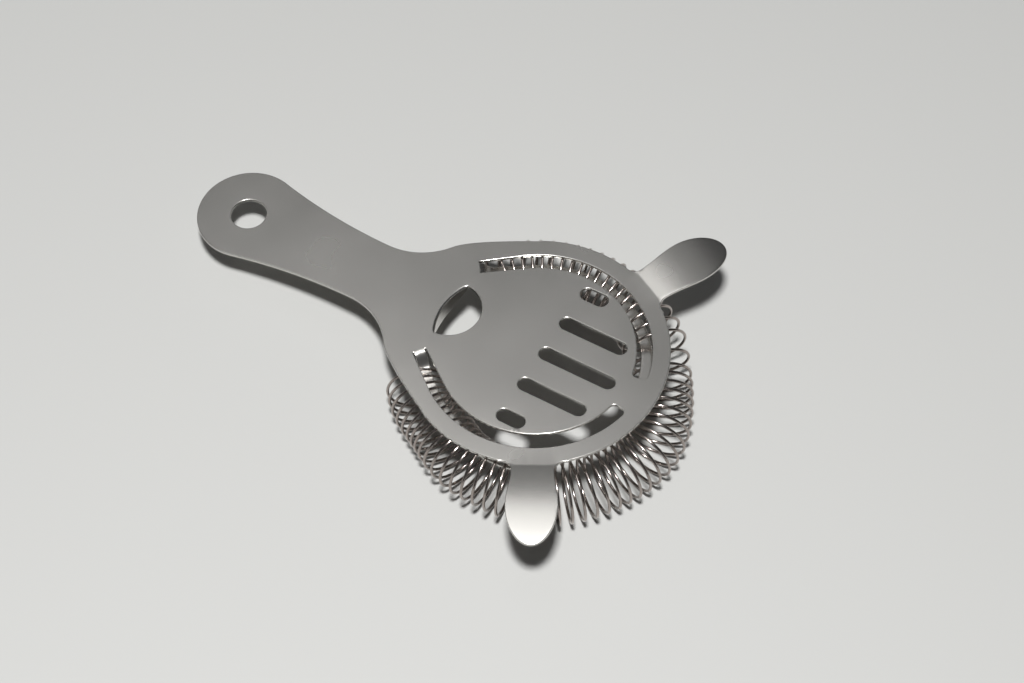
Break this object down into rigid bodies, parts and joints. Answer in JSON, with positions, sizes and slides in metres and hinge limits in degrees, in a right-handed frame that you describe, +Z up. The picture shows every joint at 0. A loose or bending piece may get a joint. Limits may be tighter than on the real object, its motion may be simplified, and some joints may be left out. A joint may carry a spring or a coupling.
{
  "type": "hawthorne strainer",
  "caption": "Flat steel bar strainer with a perforated disc, two ears, a waisted handle and a coil spring round the rim.",
  "frame": {"origin": "under the centre of the disc, on the table plane that the coil lies on", "axes": "+Z up, -X along the handle, +X towards the front of the disc, +Y towards the left ear"},
  "size_m": [0.1601, 0.1129, 0.0263],
  "materials": {
    "plate_steel": "satin",
    "spring_wire": "polished"
  },
  "bodies": {
    "plate": {"plate": "plate_steel"},
    "spring": {"coil_spring": "spring_wire"}
  },
  "joints": [
    {"name": "spring_press", "type": "slide", "parent": "plate", "child": "spring", "axis": [-1, 0, 0], "range_m": [0, 0.006], "stiffness_N_per_m": 800, "deforming": ["coil_spring"]}
  ]
}
